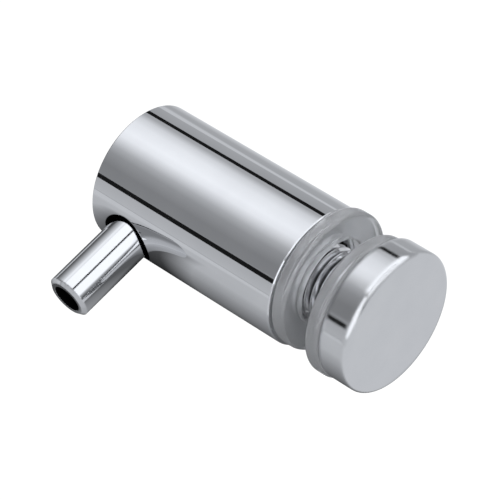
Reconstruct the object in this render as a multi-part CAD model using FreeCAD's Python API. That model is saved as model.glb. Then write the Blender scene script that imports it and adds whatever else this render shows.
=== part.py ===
import FreeCAD, Part
import math
import os

os.makedirs("parts", exist_ok=True)

# A panel holder for a wire rope: a round barrel with a wire gripper across its back end, and a screwed
# cap at its front that clamps a panel between two clear washers.
# The origin is where the wire's axis crosses the barrel's axis. +X runs along the barrel to the cap,
# -Y runs along the wire out of the release nozzle, and +Z is up. All sizes are in millimetres.

# Barrel and cap
BARREL_DIAMETER = 19.0
BARREL_LENGTH = 30.75
BARREL_EDGE_CHAMFER = 0.15
BACK_WALL = 1.45
CAP_PROUD = 0.2
CAP_THICKNESS = 4.4
CAP_FRONT_ROUND = 0.7
CAP_BACK_CHAMFER = 0.2
CAP_SOCKET_DEPTH = 3.2

# Stud and its thread, drawn at the thread's outer diameter
THREAD_DIAMETER = 10.0
THREAD_CLEARANCE = 0.05
STUD_ENGAGED_LENGTH = 10.0
STUD_CHAMFER = 0.6
HEX_ACROSS_FLATS = 5.0
HEX_DEPTH = 4.0
BORE_SPARE_DEPTH = 1.1
BORE_MOUTH_CHAMFER = 0.8
DRILL_POINT_ANGLE = 140.0

# Washers, and the gap left for the panel. The washers lie off the stud's centre, one towards each end of
# the wire, and the stud gap is what is left between the stud and the near side of their holes.
PANEL_GAP = 4.2
WASHER_THICKNESS = 2.1
WASHER_PROUD = 0.05
WASHER_PLAY = 1.0
WASHER_STUD_GAP = 0.55
WASHER_EDGE_CHAMFER = 0.4

# Release nozzle
WIRE_BORE_DIAMETER = 3.2
NOZZLE_DIAMETER = 6.2
NOZZLE_REACH = 11.25
NOZZLE_HOLE_GAP = 0.7
NOZZLE_RUNNING_CLEARANCE = 0.05
NOZZLE_TRAVEL = 1.8
MOUTH_STEP = 0.4
MOUTH_DEPTH = 1.6
TIP_RIM = 0.55
TIP_CHAMFER_LENGTH = 0.4
FLANGE_THICKNESS = 1.2
FLANGE_CLEARANCE = 0.2
SPIGOT_WALL = 0.8
SPIGOT_END_SPARE = 0.5

# Grip balls and their windows
BALL_COUNT = 3
BALL_STANDS_IN = 0.2
BALL_STANDS_OUT = 0.3
BALL_CONE_CLEARANCE = 0.02
WINDOW_CLEARANCE = 0.06
WINDOW_LIP = 0.25
LIP_CLEARANCE = 0.03

# Cone sleeve
CONE_HALF_ANGLE = 12.0
CONE_SPARE_LENGTH = 1.0
GUIDE_LENGTH = 2.5
SLEEVE_WALL = 0.41
SLEEVE_CLEARANCE = 0.05
SHOULDER_DEPTH = 3.0

# Return spring and end plug
SPRING_WIRE_DIAMETER = 0.5
SPRING_WIRE_SIDES = 6
SPRING_COILS = 4
SPRING_SEAT_GAP = 0.02
PLUG_THICKNESS = 2.0
PLUG_RECESS = 0.4
PLUG_CLEARANCE = 0.05
EXIT_PLAY = 0.15
SPANNER_HOLE_DIAMETER = 1.2
SPANNER_HOLE_DEPTH = 1.0

# Radii
barrel_radius = BARREL_DIAMETER / 2
cap_radius = barrel_radius + CAP_PROUD
thread_radius = THREAD_DIAMETER / 2
threaded_bore_radius = thread_radius + THREAD_CLEARANCE
washer_radius = barrel_radius + WASHER_PROUD
washer_hole_radius = thread_radius + WASHER_PLAY
washer_shift = WASHER_PLAY - WASHER_STUD_GAP
wire_bore_radius = WIRE_BORE_DIAMETER / 2
nozzle_radius = NOZZLE_DIAMETER / 2
nozzle_hole_radius = nozzle_radius + NOZZLE_HOLE_GAP
guide_radius = nozzle_radius + NOZZLE_RUNNING_CLEARANCE
mouth_radius = wire_bore_radius + MOUTH_STEP
tip_rim_radius = mouth_radius + TIP_RIM
spigot_radius = wire_bore_radius + SPIGOT_WALL

# A ball spans the nozzle's wall and stands proud of it on both sides
nozzle_wall = nozzle_radius - wire_bore_radius
ball_radius = (nozzle_wall + BALL_STANDS_IN + BALL_STANDS_OUT) / 2
ball_centre_radius = wire_bore_radius - BALL_STANDS_IN + ball_radius

# Stations along the wire, counted from the barrel's axis and positive towards the nozzle's tip.
# The balls rest against the cone a little behind its narrow end.
cone_slope = math.tan(math.radians(CONE_HALF_ANGLE))
cone_cosine = math.cos(math.radians(CONE_HALF_ANGLE))
tip_station = barrel_radius + NOZZLE_REACH
shoulder_station = barrel_radius - SHOULDER_DEPTH
cone_narrow_station = shoulder_station - GUIDE_LENGTH
cone_radius_at_ball = ball_centre_radius + (ball_radius + BALL_CONE_CLEARANCE) / cone_cosine
ball_station = cone_narrow_station - (cone_radius_at_ball - guide_radius) / cone_slope
cone_wide_station = ball_station - NOZZLE_TRAVEL - CONE_SPARE_LENGTH
cone_wide_radius = guide_radius + (cone_narrow_station - cone_wide_station) * cone_slope
sleeve_radius = cone_wide_radius + SLEEVE_WALL
cavity_radius = sleeve_radius + SLEEVE_CLEARANCE
plug_radius = cavity_radius - PLUG_CLEARANCE
exit_radius = wire_bore_radius + EXIT_PLAY
flange_radius = cavity_radius - FLANGE_CLEARANCE
flange_back_station = cone_wide_station - FLANGE_THICKNESS
cavity_mouth_station = -math.sqrt(barrel_radius**2 - cavity_radius**2)
plug_outer_station = cavity_mouth_station + PLUG_RECESS
plug_inner_station = plug_outer_station + PLUG_THICKNESS
spigot_end_station = plug_inner_station + NOZZLE_TRAVEL + SPIGOT_END_SPARE

# Stations along the barrel, counted from the wire's axis and positive towards the cap
back_station = -cavity_radius - BACK_WALL
front_station = back_station + BARREL_LENGTH
panel_back_station = front_station + WASHER_THICKNESS
panel_front_station = panel_back_station + PANEL_GAP
cap_back_station = panel_front_station + WASHER_THICKNESS
cap_front_station = cap_back_station + CAP_THICKNESS
cap_socket_station = cap_back_station + CAP_SOCKET_DEPTH
stud_end_station = front_station - STUD_ENGAGED_LENGTH
bore_bottom_station = stud_end_station - PANEL_GAP - BORE_SPARE_DEPTH
drill_point_depth = threaded_bore_radius / math.tan(math.radians(DRILL_POINT_ANGLE / 2))

# Turned pieces are drawn about +Z and then laid along the barrel or along the wire
ORIGIN = FreeCAD.Vector(0, 0, 0)
TURNING_AXIS = FreeCAD.Vector(0, 0, 1)
BARREL_DIRECTION = FreeCAD.Vector(1, 0, 0)
WIRE_DIRECTION = FreeCAD.Vector(0, -1, 0)
FULL_TURN = 360.0
PAST_SURFACE = 1.0


def lay_along(shape, direction):
    laid = shape.copy()
    laid.Placement = FreeCAD.Placement(ORIGIN, FreeCAD.Rotation(TURNING_AXIS, direction))
    return laid


def profile_point(radius, station):
    return FreeCAD.Vector(radius, 0, station)


def round_corner(start, corner, end):
    """The quarter circle from start to end that rounds off a square corner."""
    start_point = profile_point(*start)
    corner_point = profile_point(*corner)
    end_point = profile_point(*end)
    centre = start_point + end_point - corner_point
    reach = (corner_point - centre).normalize() * (start_point - centre).Length
    return Part.Arc(start_point, centre + reach, end_point).toShape()


def straight_run(*points):
    """Straight edges from each (radius, station) point to the next."""
    corners = [profile_point(*point) for point in points]
    return [Part.makeLine(a, b) for a, b in zip(corners, corners[1:])]


def turned(edges, direction):
    face = Part.Face(Part.Wire(Part.__sortEdges__(edges)))
    return lay_along(face.revolve(ORIGIN, TURNING_AXIS, FULL_TURN), direction)


def drilled(radius, start, end, direction):
    """A drilled hole's solid between two stations along a direction from the origin."""
    low = min(start, end)
    hole = Part.makeCylinder(radius, abs(end - start), TURNING_AXIS * low, TURNING_AXIS)
    return lay_along(hole, direction)


def make_barrel():
    rim = barrel_radius - BARREL_EDGE_CHAMFER
    edges = straight_run(
        (0, back_station),
        (rim, back_station),
        (barrel_radius, back_station + BARREL_EDGE_CHAMFER),
        (barrel_radius, front_station - BARREL_EDGE_CHAMFER),
        (rim, front_station),
        (threaded_bore_radius + BORE_MOUTH_CHAMFER, front_station),
        (threaded_bore_radius, front_station - BORE_MOUTH_CHAMFER),
        (threaded_bore_radius, bore_bottom_station),
        (0, bore_bottom_station - drill_point_depth),
        (0, back_station),
    )
    body = turned(edges, BARREL_DIRECTION)
    outside_station = barrel_radius + PAST_SURFACE
    cavity = drilled(cavity_radius, -outside_station, shoulder_station, WIRE_DIRECTION)
    nozzle_hole = drilled(nozzle_hole_radius, shoulder_station, outside_station, WIRE_DIRECTION)
    return body.cut(cavity).cut(nozzle_hole)


def make_cone_sleeve():
    edges = straight_run(
        (guide_radius, shoulder_station),
        (sleeve_radius, shoulder_station),
        (sleeve_radius, cone_wide_station),
        (cone_wide_radius, cone_wide_station),
        (guide_radius, cone_narrow_station),
        (guide_radius, shoulder_station),
    )
    return turned(edges, WIRE_DIRECTION)


def ball_direction(index):
    angle = 2 * math.pi * index / BALL_COUNT
    return FreeCAD.Vector(math.cos(angle), 0, math.sin(angle))


def make_grip_ball(index):
    centre = ball_direction(index) * ball_centre_radius + WIRE_DIRECTION * ball_station
    return Part.makeSphere(ball_radius, centre)


def make_window(index):
    """A ball's window, with a narrower inner end so that the ball can't fall into the wire's bore."""
    lip_radius_station = wire_bore_radius + WINDOW_LIP
    section = math.sqrt(ball_radius**2 - (ball_centre_radius - lip_radius_station) ** 2)
    outward = ball_direction(index)
    foot = WIRE_DIRECTION * ball_station
    lip_hole = Part.makeCylinder(section + LIP_CLEARANCE, lip_radius_station, foot, outward)
    seat = foot + outward * lip_radius_station
    seat_depth = nozzle_radius + PAST_SURFACE - lip_radius_station
    ball_hole = Part.makeCylinder(ball_radius + WINDOW_CLEARANCE, seat_depth, seat, outward)
    return lip_hole.fuse(ball_hole)


def make_release_nozzle():
    edges = straight_run(
        (wire_bore_radius, spigot_end_station),
        (spigot_radius, spigot_end_station),
        (spigot_radius, flange_back_station),
        (flange_radius, flange_back_station),
        (flange_radius, cone_wide_station),
        (nozzle_radius, cone_wide_station),
        (nozzle_radius, tip_station - TIP_CHAMFER_LENGTH),
        (tip_rim_radius, tip_station),
        (mouth_radius, tip_station),
        (mouth_radius, tip_station - MOUTH_DEPTH + MOUTH_STEP),
        (wire_bore_radius, tip_station - MOUTH_DEPTH),
        (wire_bore_radius, spigot_end_station),
    )
    nozzle = turned(edges, WIRE_DIRECTION)
    for index in range(BALL_COUNT):
        nozzle = nozzle.cut(make_window(index))
    return nozzle


def make_return_spring():
    """A coil between the nozzle's flange and the end plug, its wire drawn with flat sides."""
    wire_radius = SPRING_WIRE_DIAMETER / 2
    coil_radius = (spigot_radius + flange_radius) / 2
    first = plug_inner_station + SPRING_SEAT_GAP + wire_radius
    last = flange_back_station - SPRING_SEAT_GAP - wire_radius
    height = last - first
    helix = Part.makeHelix(height / SPRING_COILS, height, coil_radius)
    corners = []
    for index in range(SPRING_WIRE_SIDES + 1):
        angle = 2 * math.pi * index / SPRING_WIRE_SIDES
        corners.append(profile_point(coil_radius + wire_radius * math.cos(angle), wire_radius * math.sin(angle)))
    coil = Part.Wire(helix).makePipeShell([Part.makePolygon(corners)], True, True)
    coil.translate(TURNING_AXIS * first)
    return lay_along(Part.makeCompound([coil]), WIRE_DIRECTION).Solids[0]


def make_end_plug():
    edges = straight_run(
        (exit_radius, plug_inner_station),
        (plug_radius, plug_inner_station),
        (plug_radius, plug_outer_station),
        (exit_radius, plug_outer_station),
        (exit_radius, plug_inner_station),
    )
    plug = turned(edges, WIRE_DIRECTION)
    hole_offset = (exit_radius + plug_radius) / 2
    for side in (-1, 1):
        foot = WIRE_DIRECTION * (plug_outer_station + SPANNER_HOLE_DEPTH)
        foot = foot + BARREL_DIRECTION * side * hole_offset
        hole = Part.makeCylinder(SPANNER_HOLE_DIAMETER / 2, SPANNER_HOLE_DEPTH, foot, -WIRE_DIRECTION)
        plug = plug.cut(hole)
    return plug


def make_washer(back, shift):
    front = back + WASHER_THICKNESS
    rim = washer_radius - WASHER_EDGE_CHAMFER
    edges = straight_run(
        (washer_hole_radius, back),
        (rim, back),
        (washer_radius, back + WASHER_EDGE_CHAMFER),
        (washer_radius, front - WASHER_EDGE_CHAMFER),
        (rim, front),
        (washer_hole_radius, front),
        (washer_hole_radius, back),
    )
    washer = turned(edges, BARREL_DIRECTION)
    washer.translate(WIRE_DIRECTION * shift)
    return washer


def make_stud():
    slim = thread_radius - STUD_CHAMFER
    edges = straight_run(
        (0, stud_end_station),
        (slim, stud_end_station),
        (thread_radius, stud_end_station + STUD_CHAMFER),
        (thread_radius, cap_socket_station - STUD_CHAMFER),
        (slim, cap_socket_station),
        (0, cap_socket_station),
        (0, stud_end_station),
    )
    stud = turned(edges, BARREL_DIRECTION)
    return stud.cut(make_hex_socket())


def make_hex_socket():
    sides = 6
    corner_radius = HEX_ACROSS_FLATS / 2 / math.cos(math.pi / sides)
    corners = []
    for index in range(sides + 1):
        angle = 2 * math.pi * index / sides
        corners.append(
            FreeCAD.Vector(stud_end_station, corner_radius * math.cos(angle), corner_radius * math.sin(angle))
        )
    outline = Part.Face(Part.makePolygon(corners))
    return outline.extrude(BARREL_DIRECTION * HEX_DEPTH)


def make_cap():
    face_radius = cap_radius - CAP_FRONT_ROUND
    side_end = cap_front_station - CAP_FRONT_ROUND
    edges = straight_run(
        (0, cap_socket_station),
        (threaded_bore_radius, cap_socket_station),
        (threaded_bore_radius, cap_back_station),
        (cap_radius - CAP_BACK_CHAMFER, cap_back_station),
        (cap_radius, cap_back_station + CAP_BACK_CHAMFER),
        (cap_radius, side_end),
    )
    corner = (cap_radius, cap_front_station)
    edges.append(round_corner((cap_radius, side_end), corner, (face_radius, cap_front_station)))
    edges += straight_run((face_radius, cap_front_station), (0, cap_front_station), (0, cap_socket_station))
    return turned(edges, BARREL_DIRECTION)


pieces = {
    "barrel": make_barrel(),
    "cone_sleeve": make_cone_sleeve(),
    "release_nozzle": make_release_nozzle(),
    "return_spring": make_return_spring(),
    "end_plug": make_end_plug(),
    "barrel_washer": make_washer(front_station, -washer_shift),
    "cap_washer": make_washer(panel_front_station, washer_shift),
    "stud": make_stud(),
    "cap": make_cap(),
}
for ball_index in range(BALL_COUNT):
    pieces[f"grip_ball_{ball_index + 1}"] = make_grip_ball(ball_index)

for node, shape in pieces.items():
    shape.exportStep(f"parts/{node}.step")
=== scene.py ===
import math

import bmesh
import bpy
from mathutils import Matrix, Vector


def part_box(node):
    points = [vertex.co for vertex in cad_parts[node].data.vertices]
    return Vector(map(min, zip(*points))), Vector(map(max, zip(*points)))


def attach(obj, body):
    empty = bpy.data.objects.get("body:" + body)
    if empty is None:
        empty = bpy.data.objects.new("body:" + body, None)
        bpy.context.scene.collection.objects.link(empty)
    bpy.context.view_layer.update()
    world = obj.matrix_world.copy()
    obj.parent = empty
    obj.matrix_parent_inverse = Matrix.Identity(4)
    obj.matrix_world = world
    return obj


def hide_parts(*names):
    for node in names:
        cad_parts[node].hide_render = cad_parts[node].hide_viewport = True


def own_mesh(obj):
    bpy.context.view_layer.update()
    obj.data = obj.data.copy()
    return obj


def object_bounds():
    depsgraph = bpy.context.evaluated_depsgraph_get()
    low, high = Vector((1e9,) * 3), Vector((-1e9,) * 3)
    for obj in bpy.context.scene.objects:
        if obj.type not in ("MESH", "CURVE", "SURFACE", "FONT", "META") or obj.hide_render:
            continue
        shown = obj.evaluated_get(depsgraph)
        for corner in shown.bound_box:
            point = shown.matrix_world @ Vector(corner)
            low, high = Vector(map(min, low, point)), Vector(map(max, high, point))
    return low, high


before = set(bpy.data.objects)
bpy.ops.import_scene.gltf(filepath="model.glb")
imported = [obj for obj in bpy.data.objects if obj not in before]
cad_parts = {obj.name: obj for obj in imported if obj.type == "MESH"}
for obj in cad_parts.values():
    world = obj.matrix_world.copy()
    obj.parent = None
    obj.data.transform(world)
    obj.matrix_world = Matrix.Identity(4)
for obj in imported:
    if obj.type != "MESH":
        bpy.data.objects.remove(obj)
cad_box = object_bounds()

MM = 0.001
X_AXIS = Vector((1, 0, 0))
Y_AXIS = Vector((0, 1, 0))

# Camera, in the part's own frame
CAMERA_PLACE = Vector((203.9, -133.1, 281.4)) * MM
CAMERA_RIGHT = Vector((0.7297, 0.6587, -0.1837))
CAMERA_UP = Vector((-0.4432, 0.6601, 0.6065))
CAMERA_LENS = 208.1
CAMERA_SENSOR = 36.0
CAMERA_NEAREST = 0.02
CAMERA_FARTHEST = 20.0

# Studio: a round tent whose light depends on the angle about the barrel's axis, in degrees,
# from the far side (0) over the top (90) to the near side (180)
TENT_RADIUS = 0.6
TENT_SUBDIVISIONS = 4
TENT_LIGHT_BY_ANGLE = (
    (0, 0.42),
    (18, 0.38),
    (32, 0.44),
    (42, 0.75),
    (55, 0.93),
    (75, 1.03),
    (86, 0.95),
    (96, 0.71),
    (105, 0.48),
    (116, 0.33),
    (135, 0.24),
    (152, 0.25),
    (161, 0.46),
    (180, 0.52),
)
# The tent's light along the barrel, from its back end (-1) to its cap end (1)
TENT_LIGHT_ALONG = (
    (-1.0, 0.25),
    (-0.9, 0.30),
    (-0.64, 0.76),
    (-0.58, 0.98),
    (-0.53, 1.01),
    (-0.51, 0.98),
    (-0.49, 1.0),
    (-0.42, 0.86),
    (-0.3, 0.95),
    (0.85, 1.1),
    (0.93, 0.35),
    (1.0, 0.25),
)
# In front of these places along the barrel the light is turned about its axis, in degrees
TENT_TWIST_ALONG = (-0.49, -0.42)
TENT_TWIST = 6.0
TENT_TINT = (0.963, 0.988, 1.030, 1.0)
# A brighter lamp cloth in the tent, between these places along the barrel, across it and upwards
KEY_LIGHT = 1.15
KEY_ALONG = (-0.50, -0.36)
KEY_END_ALONG = (0.93, 0.87)
KEY_ACROSS = (-0.30, -0.10)
KEY_UPWARDS = (0.22, 0.34)

# White card that lights the cap's round edge from the near side
CARD_LIGHT = 1.15
CARD_ALONG = (36 * MM, 150 * MM)
CARD_ACROSS = -45 * MM
CARD_UPWARDS = (12 * MM, 160 * MM)

# Dark strips that hang in the tent along the barrel, and one over the nozzle whose reflection paints a
# dark line along it
STRIP_DISTANCE = 0.4
BARREL_STRIP_ENDS = (-0.5, -0.17)
NOZZLE_STRIP_ENDS = (-0.5, 0.5)
BARREL_STRIP_ANGLES = (23.5, 157.0)
BARREL_STRIP_WIDTH = 0.050
NOZZLE_STRIP_ANGLE = 66.0
NOZZLE_STRIP_WIDTH = 0.055
STRIP_LIGHT = 0.01

# Glowing table under the part, seen only in reflections, with the part's shadow painted into its light:
# light across the barrel, in mm from its axis
TABLE_DROP = 0.2 * MM
TABLE_REACH = 1.5
TABLE_LIGHT_ACROSS = (
    (-60, 0.52),
    (-32, 0.50),
    (-20, 0.37),
    (-12, 0.21),
    (-8, 0.11),
    (8, 0.12),
    (17, 0.72),
    (26, 0.57),
    (42, 0.43),
    (60, 0.42),
)
TABLE_OPEN_LIGHT = 0.60
TABLE_SHADE_BACK = (-70 * MM, -45 * MM)
TABLE_SHADE_FRONT = (36.6 * MM, 38.2 * MM)
# The nozzle's painted shadow on the table runs askew beneath it
NOZZLE_SHADE_DEPTH = 0.8
NOZZLE_SHADE_SKEW = 0.5
NOZZLE_SHADE_NEAR = (12 * MM, 6 * MM)
NOZZLE_SHADE_FAR = (-8 * MM, -2 * MM)
NOZZLE_SHADE_TIP = (-60 * MM, -45 * MM)
NOZZLE_SHADE_ROOT = (-5 * MM, -8 * MM)

# Floor that the camera sees
FLOOR_DROP = 0.4 * MM
FLOOR_REACH = 4.0
FLOOR_GLOW = 1.06
WORLD_LIGHT = (1.0, 1.0, 1.0, 1.0)

# Stud: M10 x 1 thread with a hexagon socket in its inner end
THREAD_PITCH = 1.0 * MM
THREAD_DEPTH = 0.6 * MM
THREAD_CREST = 0.15 * MM
THREAD_HALF_ANGLE = math.radians(30)
THREAD_FLANK = THREAD_DEPTH * math.tan(THREAD_HALF_ANGLE)
THREAD_COLUMNS = 96
THREAD_SPARE_TURNS = 2
THREAD_MERGE_DISTANCE = 0.001 * MM
THREAD_SHARP_ANGLE = math.radians(25)
HEX_ACROSS_FLATS = 5.0 * MM
HEX_DEPTH = 4.0 * MM
HEX_SIDES = 6

# Washers: lathe-turned rings with rounded rims, a hair off the polished faces that they lie on
WASHER_HOLE_RADIUS = 6.0 * MM
WASHER_STAND_OFF = 0.02 * MM
WASHER_RIM_ROUND = 0.5 * MM
WASHER_HOLE_ROUND = 0.15 * MM
WASHER_COLUMNS = 160
WASHER_ROUND_STEPS = 6

# Places where plating gives way to unplated metal in the bores, coloured near black as painted shade
BARREL_RAW_AND_SHADE_RADIUS = 9.3 * MM
BARREL_RAW_AND_SHADE_BACK = 0.2 * MM
BARREL_RAW_AND_SHADE_FRONT = 0.4 * MM
NOZZLE_MOUTH = 2.03 * MM

# Materials' marks: noise runs from its low to its high value between these places
NOISE_LOW = 0.3
NOISE_HIGH = 0.7
NOISE_DETAIL = 3.0

# Chrome
CHROME_LIGHT = (0.865, 0.870, 0.885, 1.0)
CHROME_DARK = (0.835, 0.842, 0.860, 1.0)
# Unplated metal in the bores, near black: its own dull tone with painted shade
RAW_METAL_AND_PAINTED_SHADE = (0.012, 0.012, 0.013, 1.0)
CHROME_ROUGHNESS = (0.012, 0.045)
RAW_ROUGHNESS = 0.5
CHROME_CLOUD_SCALE = 260.0
CHROME_WAVE_SCALE = 90.0
CHROME_WAVE_DETAIL = 1.0
CHROME_WAVE_STRENGTH = 0.02
CHROME_WAVE_DEPTH = 0.05 * MM
CAP_SOFT_EDGE = 0.9 * MM
BARREL_SOFT_EDGE = 0.1 * MM
NOZZLE_SOFT_EDGE = 0.3 * MM
SOFT_EDGE_SAMPLES = 6

# Steel: tones from dark to light, and painted shade in the roots of the thread
BARE_STEEL = ((0.42, 0.42, 0.44, 1.0), (0.66, 0.66, 0.67, 1.0))
BARE_STREAK_SCALE = 900.0
BARE_ROUGHNESS = (0.22, 0.4)
PLATED_STEEL = ((0.80, 0.80, 0.82, 1.0), (0.90, 0.90, 0.91, 1.0))
PLATED_STREAK_SCALE = 700.0
PLATED_ROUGHNESS = (0.04, 0.10)
# Painted shade in the thread's roots
ROOT_PAINTED_SHADE = (0.12, 0.12, 0.125, 1.0)
STREAK_DETAIL = 6.0
STREAK_LIGHT_PLACE = 0.65
STREAK_STRENGTH = 0.1
STREAK_DEPTH = 0.02 * MM

# Clear plastic
PLASTIC_PALE = (0.95, 0.955, 0.96, 1.0)
PLASTIC_GREY = (0.90, 0.905, 0.91, 1.0)
PLASTIC_IOR = 1.45
PLASTIC_CLEARNESS = 0.78
PLASTIC_ROUGHNESS = (0.06, 0.12)
PLASTIC_FLOW_SCALE = 320.0
PLASTIC_FLOW_STRENGTH = 0.03
PLASTIC_FLOW_DEPTH = 0.05 * MM

stud_low, stud_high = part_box("stud")
stud_radius = stud_high.z
root_radius = stud_radius - THREAD_DEPTH


def new_material(name):
    material = bpy.data.materials.new(name)
    material.use_nodes = True
    tree = material.node_tree
    tree.nodes.clear()
    output = tree.nodes.new("ShaderNodeOutputMaterial")
    return material, tree, output


def add(tree, kind, **settings):
    node = tree.nodes.new(kind)
    for key, value in settings.items():
        setattr(node, key, value)
    return node


def feed(tree, socket, value):
    """Sets a socket to a number, or links it to another node's socket."""
    if isinstance(value, bpy.types.NodeSocket):
        tree.links.new(value, socket)
    else:
        socket.default_value = value


def math_node(tree, operation, first, second=0.0):
    node = add(tree, "ShaderNodeMath", operation=operation)
    feed(tree, node.inputs[0], first)
    feed(tree, node.inputs[1], second)
    return node.outputs[0]


def mapped(tree, value, low, high, to_low=0.0, to_high=1.0):
    node = add(tree, "ShaderNodeMapRange")
    feed(tree, node.inputs["Value"], value)
    node.inputs["From Min"].default_value = low
    node.inputs["From Max"].default_value = high
    node.inputs["To Min"].default_value = to_low
    node.inputs["To Max"].default_value = to_high
    return node.outputs["Result"]


def ramp(tree, value, stops):
    """A colour ramp through (place, colour) stops, with places from 0 to 1."""
    node = add(tree, "ShaderNodeValToRGB")
    elements = node.color_ramp.elements
    while len(elements) < len(stops):
        elements.new(1.0)
    for element, (place, colour) in zip(elements, stops):
        element.position = place
        element.color = colour
    feed(tree, node.inputs["Fac"], value)
    return node.outputs["Color"]


def light_ramp(tree, value, table):
    """Light levels from a table of (place, level), over the table's own span of places."""
    low, high = table[0][0], table[-1][0]
    stops = [((place - low) / (high - low), (level, level, level, 1.0)) for place, level in table]
    return ramp(tree, mapped(tree, value, low, high), stops)


def noise(tree, vector, scale, detail=NOISE_DETAIL):
    node = add(tree, "ShaderNodeTexNoise")
    node.inputs["Scale"].default_value = scale
    node.inputs["Detail"].default_value = detail
    feed(tree, node.inputs["Vector"], vector)
    return node.outputs["Fac"]


def object_place(tree):
    return add(tree, "ShaderNodeTexCoord").outputs["Object"]


def axes_of(tree, vector):
    node = add(tree, "ShaderNodeSeparateXYZ")
    feed(tree, node.inputs[0], vector)
    return node.outputs["X"], node.outputs["Y"], node.outputs["Z"]


def distance_from_axis(tree, first, second):
    first_square = math_node(tree, "POWER", first, 2.0)
    second_square = math_node(tree, "POWER", second, 2.0)
    return math_node(tree, "SQRT", math_node(tree, "ADD", first_square, second_square))


def emission_material(name, light, tint):
    """A glowing surface, whose light is a number or a function that makes its nodes."""
    material, tree, output = new_material(name)
    emission = add(tree, "ShaderNodeEmission")
    emission.inputs["Color"].default_value = tint
    strength = light(tree) if callable(light) else light
    feed(tree, emission.inputs["Strength"], strength)
    tree.links.new(emission.outputs[0], output.inputs["Surface"])
    return material


# Object materials
def no_raw_metal_or_painted_shade(tree, place):
    return None


# Painted shade in the barrel's bore: near-black unplated metal inside the plated skin, short of both ends
def raw_metal_and_painted_shade_in_barrel(tree, place):
    x, y, z = axes_of(tree, place)
    low, high = (corner.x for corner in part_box("barrel"))
    inside = math_node(tree, "LESS_THAN", distance_from_axis(tree, y, z), BARREL_RAW_AND_SHADE_RADIUS)
    after_back = math_node(tree, "GREATER_THAN", x, low + BARREL_RAW_AND_SHADE_BACK)
    before_front = math_node(tree, "LESS_THAN", x, high - BARREL_RAW_AND_SHADE_FRONT)
    return math_node(tree, "MULTIPLY", inside, math_node(tree, "MULTIPLY", after_back, before_front))


# Painted shade in the nozzle's bore: near-black unplated metal inside its mouth
def raw_metal_and_painted_shade_in_nozzle(tree, place):
    x, y, z = axes_of(tree, place)
    return math_node(tree, "LESS_THAN", distance_from_axis(tree, x, z), NOZZLE_MOUTH)


def mix_colour(tree, share, first, second):
    node = add(tree, "ShaderNodeMix", data_type="RGBA")
    feed(tree, node.inputs["Factor"], share)
    feed(tree, node.inputs["A"], first)
    feed(tree, node.inputs["B"], second)
    return node.outputs["Result"]


def chrome_material(name, raw_and_shade_share, soft_edge):
    """Polished plate with faint clouding and soft edges; where raw_and_shade_share says so, unplated metal
    coloured near black as painted shade.
    """
    material, tree, output = new_material(name)
    shader = add(tree, "ShaderNodeBsdfPrincipled")
    place = object_place(tree)
    cloud = noise(tree, place, CHROME_CLOUD_SCALE)
    colour = ramp(tree, cloud, [(NOISE_LOW, CHROME_DARK), (NOISE_HIGH, CHROME_LIGHT)])
    roughness = mapped(tree, cloud, NOISE_LOW, NOISE_HIGH, *CHROME_ROUGHNESS)
    raw_and_shade = raw_and_shade_share(tree, place)
    if raw_and_shade is not None:
        colour = mix_colour(tree, raw_and_shade, colour, RAW_METAL_AND_PAINTED_SHADE)
        rougher = math_node(tree, "MULTIPLY", raw_and_shade, RAW_ROUGHNESS)
        roughness = math_node(tree, "MAXIMUM", roughness, rougher)
    wave = add(tree, "ShaderNodeBump")
    wave.inputs["Strength"].default_value = CHROME_WAVE_STRENGTH
    wave.inputs["Distance"].default_value = CHROME_WAVE_DEPTH
    feed(tree, wave.inputs["Height"], noise(tree, place, CHROME_WAVE_SCALE, CHROME_WAVE_DETAIL))
    edge = add(tree, "ShaderNodeBevel", samples=SOFT_EDGE_SAMPLES)
    edge.inputs["Radius"].default_value = soft_edge
    tree.links.new(edge.outputs["Normal"], wave.inputs["Normal"])
    shader.inputs["Metallic"].default_value = 1.0
    feed(tree, shader.inputs["Base Color"], colour)
    feed(tree, shader.inputs["Roughness"], roughness)
    feed(tree, shader.inputs["Normal"], wave.outputs["Normal"])
    tree.links.new(shader.outputs[0], output.inputs["Surface"])
    return material


# Painted shade in the thread's roots: full at the root, none halfway up the flanks
def painted_root_shade(tree, place):
    x, y, z = axes_of(tree, place)
    from_axis = distance_from_axis(tree, y, z)
    return mapped(tree, from_axis, root_radius, stud_radius - THREAD_DEPTH / 2, 1.0, 0.0)


def steel_material(name, tones, scale, roughness, root_share=no_raw_metal_or_painted_shade):
    """Bare or plated steel, with the turning tool's streaks and painted shade where root_share says so."""
    material, tree, output = new_material(name)
    shader = add(tree, "ShaderNodeBsdfPrincipled")
    place = object_place(tree)
    streak = noise(tree, place, scale, STREAK_DETAIL)
    shader.inputs["Metallic"].default_value = 1.0
    dark, light = tones
    colour = ramp(tree, streak, [(NOISE_LOW, dark), (STREAK_LIGHT_PLACE, light)])
    root = root_share(tree, place)
    if root is not None:
        colour = mix_colour(tree, root, colour, ROOT_PAINTED_SHADE)
    feed(tree, shader.inputs["Base Color"], colour)
    feed(tree, shader.inputs["Roughness"], mapped(tree, streak, NOISE_LOW, NOISE_HIGH, *roughness))
    bump = add(tree, "ShaderNodeBump")
    bump.inputs["Strength"].default_value = STREAK_STRENGTH
    bump.inputs["Distance"].default_value = STREAK_DEPTH
    feed(tree, bump.inputs["Height"], streak)
    feed(tree, shader.inputs["Normal"], bump.outputs["Normal"])
    tree.links.new(shader.outputs[0], output.inputs["Surface"])
    return material


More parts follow.
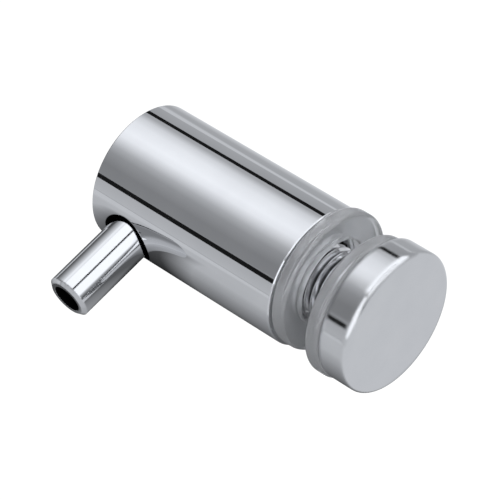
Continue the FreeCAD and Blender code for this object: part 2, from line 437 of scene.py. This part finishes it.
def clear_plastic_material(name):
    """Clear moulded plastic, a little milky, with faint flow marks."""
    material, tree, output = new_material(name)
    shader = add(tree, "ShaderNodeBsdfPrincipled")
    place = object_place(tree)
    flow = noise(tree, place, PLASTIC_FLOW_SCALE)
    colour = ramp(tree, flow, [(NOISE_LOW, PLASTIC_GREY), (NOISE_HIGH, PLASTIC_PALE)])
    roughness = mapped(tree, flow, NOISE_LOW, NOISE_HIGH, *PLASTIC_ROUGHNESS)
    shader.inputs["Transmission Weight"].default_value = PLASTIC_CLEARNESS
    shader.inputs["IOR"].default_value = PLASTIC_IOR
    feed(tree, shader.inputs["Base Color"], colour)
    feed(tree, shader.inputs["Roughness"], roughness)
    bump = add(tree, "ShaderNodeBump")
    bump.inputs["Strength"].default_value = PLASTIC_FLOW_STRENGTH
    bump.inputs["Distance"].default_value = PLASTIC_FLOW_DEPTH
    feed(tree, bump.inputs["Height"], flow)
    feed(tree, shader.inputs["Normal"], bump.outputs["Normal"])
    tree.links.new(shader.outputs[0], output.inputs["Surface"])
    return material


def dress(node, material):
    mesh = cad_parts[node].data
    mesh.materials.clear()
    mesh.materials.append(material)


chrome = chrome_material("chrome", no_raw_metal_or_painted_shade, CAP_SOFT_EDGE)
steel = steel_material("steel", BARE_STEEL, BARE_STREAK_SCALE, BARE_ROUGHNESS)
plated_thread = steel_material(
    "plated_thread", PLATED_STEEL, PLATED_STREAK_SCALE, PLATED_ROUGHNESS, painted_root_shade
)
clear_plastic = clear_plastic_material("clear_plastic")
dress("barrel", chrome_material("barrel_chrome", raw_metal_and_painted_shade_in_barrel, BARREL_SOFT_EDGE))
dress("release_nozzle", chrome_material("nozzle_chrome", raw_metal_and_painted_shade_in_nozzle, NOZZLE_SOFT_EDGE))
dress("cap", chrome)
dress("end_plug", chrome)
for bare_node in ("cone_sleeve", "grip_ball_1", "grip_ball_2", "grip_ball_3"):
    dress(bare_node, steel)


def new_object(name, mesh_builder, material):
    mesh = bpy.data.meshes.new(name)
    builder = bmesh.new()
    mesh_builder(builder)
    bmesh.ops.recalc_face_normals(builder, faces=builder.faces)
    builder.to_mesh(mesh)
    builder.free()
    mesh.materials.append(material)
    made = bpy.data.objects.new(name, mesh)
    bpy.context.scene.collection.objects.link(made)
    return made


# Threaded stud in place of the plain one
def thread_corners():
    """The thread's corners along the stud for the first column: (place along the pitch, radius)."""
    return (
        (0.0, root_radius),
        (THREAD_FLANK, stud_radius),
        (THREAD_FLANK + THREAD_CREST, stud_radius),
        (2 * THREAD_FLANK + THREAD_CREST, root_radius),
    )


def around(x, radius, angle):
    return Vector((x, radius * math.cos(angle), radius * math.sin(angle)))


def build_threaded_stud(builder):
    corners = thread_corners()
    turns = math.ceil((stud_high.x - stud_low.x) / THREAD_PITCH) + THREAD_SPARE_TURNS
    columns = []
    for column in range(THREAD_COLUMNS):
        share = column / THREAD_COLUMNS
        angle = 2 * math.pi * share
        line = []
        for turn in range(turns):
            for offset, radius in corners:
                x = stud_low.x + (turn - THREAD_SPARE_TURNS / 2 + share) * THREAD_PITCH + offset
                x = min(max(x, stud_low.x), stud_high.x)
                from_end = min(x - stud_low.x, stud_high.x - x)
                line.append(builder.verts.new(around(x, min(radius, root_radius + from_end), angle)))
        columns.append(line)
    count = len(columns[0])
    for column in range(THREAD_COLUMNS):
        here = columns[column]
        beyond = columns[(column + 1) % THREAD_COLUMNS]
        shift = len(corners) if column + 1 == THREAD_COLUMNS else 0
        for step in range(count - 1 - shift):
            builder.faces.new((here[step], here[step + 1], beyond[step + 1 + shift], beyond[step + shift]))
    bmesh.ops.remove_doubles(builder, verts=builder.verts, dist=THREAD_MERGE_DISTANCE)
    close_stud_ends(builder)


def close_stud_ends(builder):
    open_edges = [edge for edge in builder.edges if edge.is_boundary]
    middle = (stud_low.x + stud_high.x) / 2
    outer = [edge for edge in open_edges if edge.verts[0].co.x > middle]
    inner = [edge for edge in open_edges if edge.verts[0].co.x < middle]
    bmesh.ops.contextual_create(builder, geom=outer)
    corner_radius = HEX_ACROSS_FLATS / 2 / math.cos(math.pi / HEX_SIDES)
    mouth = []
    floor_ring = []
    for side in range(HEX_SIDES):
        angle = 2 * math.pi * side / HEX_SIDES
        mouth.append(builder.verts.new(around(stud_low.x, corner_radius, angle)))
        floor_ring.append(builder.verts.new(around(stud_low.x + HEX_DEPTH, corner_radius, angle)))
    rim = []
    for side in range(HEX_SIDES):
        following = (side + 1) % HEX_SIDES
        builder.faces.new((mouth[side], mouth[following], floor_ring[following], floor_ring[side]))
        rim.append(builder.edges.get((mouth[side], mouth[following])))
    builder.faces.new(floor_ring)
    bmesh.ops.triangle_fill(builder, edges=inner + rim, use_beauty=True)


threaded_stud = new_object("threaded_stud", build_threaded_stud, plated_thread)
threaded_stud.data.shade_smooth()
threaded_stud.data.set_sharp_from_angle(angle=THREAD_SHARP_ANGLE)
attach(threaded_stud, "cap")
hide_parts("stud")


# Washers in place of the plain ones
def round_corner(corner, radius, first_angle):
    """Points of a quarter round in a washer's section, as (place along, distance from the axis)."""
    points = []
    for step in range(WASHER_ROUND_STEPS + 1):
        angle = first_angle + math.pi / 2 * step / WASHER_ROUND_STEPS
        points.append((corner[0] + radius * math.cos(angle), corner[1] + radius * math.sin(angle)))
    return points


def washer_builder(back, front, centre, rim_radius):
    rim = WASHER_RIM_ROUND
    hole = WASHER_HOLE_ROUND
    section = round_corner((front - rim, rim_radius - rim), rim, 0.0)
    section += round_corner((back + rim, rim_radius - rim), rim, math.pi / 2)
    section += round_corner((back + hole, WASHER_HOLE_RADIUS + hole), hole, math.pi)
    section += round_corner((front - hole, WASHER_HOLE_RADIUS + hole), hole, math.pi * 3 / 2)

    def build(builder):
        rings = []
        for column in range(WASHER_COLUMNS):
            angle = 2 * math.pi * column / WASHER_COLUMNS
            rings.append([builder.verts.new(centre + around(x, radius, angle)) for x, radius in section])
        for column, here in enumerate(rings):
            beyond = rings[(column + 1) % WASHER_COLUMNS]
            for step in range(len(section)):
                following = (step + 1) % len(section)
                builder.faces.new((here[step], here[following], beyond[following], beyond[step]))

    return build


def make_washer(node, body, back_off, front_off):
    low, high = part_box(node)
    centre = Vector((0, (low.y + high.y) / 2, 0))
    builder = washer_builder(low.x + back_off, high.x - front_off, centre, (high.y - low.y) / 2)
    washer = new_object("clear_" + node, builder, clear_plastic)
    washer.data.shade_smooth()
    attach(washer, body)
    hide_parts(node)


make_washer("barrel_washer", "barrel", WASHER_STAND_OFF, 0.0)
make_washer("cap_washer", "cap_washer", 0.0, WASHER_STAND_OFF)


# Return spring as a piece of its own
spring_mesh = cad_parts["return_spring"].data.copy()
spring_mesh.materials.clear()
spring_mesh.materials.append(steel)
closing_spring = bpy.data.objects.new("closing_spring", spring_mesh)
bpy.context.scene.collection.objects.link(closing_spring)
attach(closing_spring, "barrel")
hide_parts("return_spring")
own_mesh(closing_spring)


# Studio
def seen_by(made, camera=False, reflections=False):
    made.visible_camera = camera
    made.visible_diffuse = reflections
    made.visible_glossy = reflections
    made.visible_transmission = reflections
    made.visible_volume_scatter = False
    made.visible_shadow = False


def tent_light(tree):
    normal = add(tree, "ShaderNodeVectorMath", operation="NORMALIZE")
    feed(tree, normal.inputs[0], object_place(tree))
    x, y, z = axes_of(tree, normal.outputs[0])
    angle = math_node(tree, "MULTIPLY", math_node(tree, "ARCTAN2", z, y), math.degrees(1.0))
    twist = mapped(tree, x, *TENT_TWIST_ALONG, 0.0, TENT_TWIST)
    round_barrel = light_ramp(tree, math_node(tree, "ADD", angle, twist), TENT_LIGHT_BY_ANGLE)
    along_barrel = light_ramp(tree, x, TENT_LIGHT_ALONG)
    cloth = math_node(tree, "MULTIPLY", round_barrel, along_barrel)
    key_along = math_node(tree, "MULTIPLY", mapped(tree, x, *KEY_ALONG), mapped(tree, x, *KEY_END_ALONG))
    key_round = math_node(tree, "MULTIPLY", mapped(tree, y, *KEY_ACROSS), mapped(tree, z, *KEY_UPWARDS))
    key_share = math_node(tree, "MULTIPLY", key_along, key_round)
    return math_node(tree, "MAXIMUM", cloth, math_node(tree, "MULTIPLY", key_share, KEY_LIGHT))


def beside_nozzle_shade(tree, x, y):
    """1 on the open table, less in the nozzle's painted shadow."""
    askew = math_node(tree, "SUBTRACT", x, math_node(tree, "MULTIPLY", y, NOZZLE_SHADE_SKEW))
    near_side = mapped(tree, askew, *NOZZLE_SHADE_NEAR)
    far_side = mapped(tree, askew, *NOZZLE_SHADE_FAR)
    tip = mapped(tree, y, *NOZZLE_SHADE_TIP)
    root = mapped(tree, y, *NOZZLE_SHADE_ROOT)
    sides = math_node(tree, "MULTIPLY", near_side, far_side)
    shade = math_node(tree, "MULTIPLY", sides, math_node(tree, "MULTIPLY", tip, root))
    return math_node(tree, "SUBTRACT", 1.0, math_node(tree, "MULTIPLY", shade, NOZZLE_SHADE_DEPTH))


# The table's light, with the part's and the nozzle's shadows painted into it
def table_light(tree):
    x, y, z = axes_of(tree, object_place(tree))
    across = light_ramp(tree, math_node(tree, "DIVIDE", y, MM), TABLE_LIGHT_ACROSS)
    across = math_node(tree, "MULTIPLY", across, beside_nozzle_shade(tree, x, y))
    past_back = mapped(tree, x, *TABLE_SHADE_BACK)
    before_front = mapped(tree, x, *TABLE_SHADE_FRONT, 1.0, 0.0)
    shaded = math_node(tree, "MULTIPLY", past_back, before_front)
    open_share = math_node(tree, "SUBTRACT", 1.0, shaded)
    open_part = math_node(tree, "MULTIPLY", open_share, TABLE_OPEN_LIGHT)
    return math_node(tree, "ADD", math_node(tree, "MULTIPLY", across, shaded), open_part)


def build_tent(builder):
    bmesh.ops.create_icosphere(builder, subdivisions=TENT_SUBDIVISIONS, radius=TENT_RADIUS)


def flat_square(height, reach):
    def build(builder):
        corners = [(-reach, -reach), (reach, -reach), (reach, reach), (-reach, reach)]
        builder.faces.new([builder.verts.new((x, y, height)) for x, y in corners])

    return build


def hanging_strip(along, outward, ends, width):
    """A flat strip along one direction, facing the part from far out."""
    across = along.cross(outward)

    def build(builder):
        middle = outward * STRIP_DISTANCE
        first, last = ends
        corners = []
        for end, side in ((first, -1), (last, -1), (last, 1), (first, 1)):
            corners.append(middle + along * end + across * side * width / 2)
        builder.faces.new([builder.verts.new(corner) for corner in corners])

    return build


def build_card(builder):
    left, right = CARD_ALONG
    low, high = CARD_UPWARDS
    corners = [(left, low), (right, low), (right, high), (left, high)]
    builder.faces.new([builder.verts.new((x, CARD_ACROSS, z)) for x, z in corners])


part_bottom = cad_box[0].z
tent = new_object("tent", build_tent, emission_material("tent_light", tent_light, TENT_TINT))
seen_by(tent, reflections=True)
table_material = emission_material("table_light", table_light, TENT_TINT)
table = new_object("table", flat_square(part_bottom - TABLE_DROP, TABLE_REACH), table_material)
seen_by(table, reflections=True)

strip_material = emission_material("strip_dark", STRIP_LIGHT, TENT_TINT)
for index, strip_angle in enumerate(BARREL_STRIP_ANGLES):
    turn = math.radians(strip_angle)
    outward = Vector((0, math.cos(turn), math.sin(turn)))
    strip_builder = hanging_strip(X_AXIS, outward, BARREL_STRIP_ENDS, BARREL_STRIP_WIDTH)
    strip = new_object(f"strip_{index + 1}", strip_builder, strip_material)
    seen_by(strip, reflections=True)
# Dark strip over the nozzle: its reflection paints the dark line along the nozzle
nozzle_strip_turn = math.radians(NOZZLE_STRIP_ANGLE)
nozzle_strip_outward = Vector((math.cos(nozzle_strip_turn), 0, math.sin(nozzle_strip_turn)))
nozzle_strip = new_object("nozzle_strip", hanging_strip(Y_AXIS, nozzle_strip_outward, NOZZLE_STRIP_ENDS, NOZZLE_STRIP_WIDTH), strip_material)
seen_by(nozzle_strip, reflections=True)
card = new_object("card", build_card, emission_material("card_white", CARD_LIGHT, TENT_TINT))
seen_by(card, reflections=True)

floor_material = emission_material("floor", FLOOR_GLOW, WORLD_LIGHT)
floor = new_object("floor", flat_square(part_bottom - FLOOR_DROP, FLOOR_REACH), floor_material)
seen_by(floor, camera=True)

world = bpy.data.worlds.new("studio")
world.use_nodes = True
world.node_tree.nodes["Background"].inputs["Color"].default_value = WORLD_LIGHT
bpy.context.scene.world = world
bpy.context.scene.view_settings.view_transform = "Standard"

# Camera
camera_data = bpy.data.cameras.new("camera")
camera_data.lens = CAMERA_LENS
camera_data.sensor_width = CAMERA_SENSOR
camera_data.clip_start = CAMERA_NEAREST
camera_data.clip_end = CAMERA_FARTHEST
camera = bpy.data.objects.new("camera", camera_data)
bpy.context.scene.collection.objects.link(camera)
camera_back = CAMERA_RIGHT.cross(CAMERA_UP).normalized()
camera_right = CAMERA_UP.cross(camera_back).normalized()
camera_up = camera_back.cross(camera_right)
turn_matrix = Matrix((camera_right, camera_up, camera_back)).transposed()
camera.matrix_world = Matrix.Translation(CAMERA_PLACE) @ turn_matrix.to_4x4()
bpy.context.scene.camera = camera
